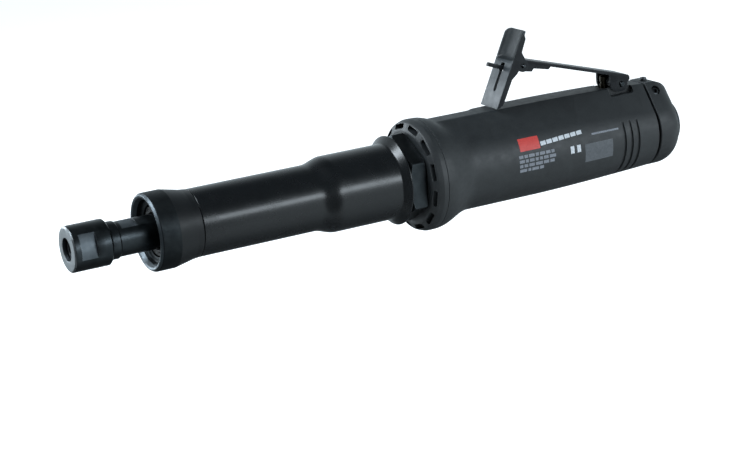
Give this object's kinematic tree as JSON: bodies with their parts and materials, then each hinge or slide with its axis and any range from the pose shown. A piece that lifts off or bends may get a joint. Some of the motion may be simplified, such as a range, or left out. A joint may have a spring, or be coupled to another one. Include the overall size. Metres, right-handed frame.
{
  "type": "pneumatic die grinder",
  "caption": "Extended-nose pneumatic die grinder with a collet nut, long bearing tube, hex clamp nut, front exhaust ring, flat-topped tapered grip and a throttle lever with a lock-off tab.",
  "frame": {"origin": "centre of the air inlet on the rear face of the tool, on the spin axis", "axes": "+X along the spin axis out of the air inlet, with the collet at -X; +Z towards the throttle lever; +Y to the right-hand side seen from the rear"},
  "size_m": [0.338, 0.0564, 0.0922],
  "materials": {
    "black_steel": "blackened steel, satin",
    "gloss_black_steel": "gloss black enamel",
    "ground_steel": "ground steel",
    "bright_steel": "polished bearing steel",
    "charcoal_composite": "fine matte charcoal composite",
    "cast_iron": "machined cast iron",
    "brass": "turned brass",
    "rubber": "black nitrile rubber",
    "felt": "pressed wool felt",
    "phenolic": "laminated phenolic"
  },
  "bodies": {
    "handle": {"cap_top_screw": "bright_steel", "lever_pin": "bright_steel", "valve_spring": "bright_steel", "front_bearing_outer_race": "bright_steel", "middle_bearing_outer_race": "bright_steel", "motor_front_bearing_outer_race": "bright_steel", "motor_rear_bearing_outer_race": "bright_steel", "nose_collar": "black_steel", "clamp_nut": "black_steel", "cap_screw_left": "black_steel", "cap_screw_right": "black_steel", "inlet_bushing": "black_steel", "extension_tube": "gloss_black_steel", "exhaust_ring": "charcoal_composite", "grip_housing": "charcoal_composite", "end_cap": "charcoal_composite", "front_end_plate": "cast_iron", "rear_end_plate": "cast_iron", "motor_cylinder": "cast_iron", "inlet_screen": "brass", "stem_bushing": "brass", "valve_seat": "brass", "dust_seal": "rubber", "cap_gasket": "rubber", "stem_seal": "rubber", "muffler_felt": "felt"},
    "spindle_line": {"spindle": "black_steel", "collet": "bright_steel", "collet_nut": "ground_steel", "bearing_spacer": "ground_steel", "spindle_bearing_nut": "black_steel", "drive_coupling": "ground_steel", "rotor": "ground_steel", "vane_1": "phenolic", "vane_2": "phenolic", "vane_3": "phenolic", "vane_4": "phenolic", "vane_5": "phenolic", "front_bearing_inner_race": "bright_steel", "middle_bearing_inner_race": "bright_steel", "motor_front_bearing_inner_race": "bright_steel", "motor_rear_bearing_inner_race": "bright_steel"},
    "ball_cages": {"front_bearing_ball_cage": "bright_steel", "middle_bearing_ball_cage": "bright_steel", "motor_front_bearing_ball_cage": "bright_steel", "motor_rear_bearing_ball_cage": "bright_steel"},
    "lever_body": {"lever": "gloss_black_steel", "lock_pin": "bright_steel", "lock_spring": "bright_steel"},
    "lock": {"lock_tab": "black_steel"},
    "valve": {"throttle_stem": "brass", "valve_poppet": "rubber"}
  },
  "joints": [
    {"name": "spindle_spin", "type": "hinge", "parent": "handle", "child": "spindle_line", "pos_m": [0, 0, 0], "axis": [1, 0, 0], "continuous": true},
    {"name": "cage_spin", "type": "hinge", "parent": "handle", "child": "ball_cages", "pos_m": [0, 0, 0], "axis": [1, 0, 0], "continuous": true},
    {"name": "lever_press", "type": "hinge", "parent": "handle", "child": "lever_body", "pos_m": [-0.0324, 0, 0.0267], "axis": [0, -1, 0], "range_deg": [0, 11], "stiffness_Nm_per_rad": 0.3, "springref_deg": -5.73},
    {"name": "lock_fold", "type": "hinge", "parent": "lever_body", "child": "lock", "pos_m": [-0.0927, 0, 0.0463], "axis": [0, 1, 0], "range_deg": [0, 54]},
    {"name": "valve_push", "type": "slide", "parent": "handle", "child": "valve", "axis": [0, 0, -1], "range_m": [0, 0.0014], "deforming": ["valve_spring"]}
  ],
  "couplings": [
    {"joint": "cage_spin", "follows": "spindle_spin", "ratio": 0.45},
    {"joint": "lock_fold", "follows": "lever_press", "ratio": 4.9},
    {"joint": "valve_push", "follows": "lever_press", "m_per_rad": 0.0071}
  ]
}
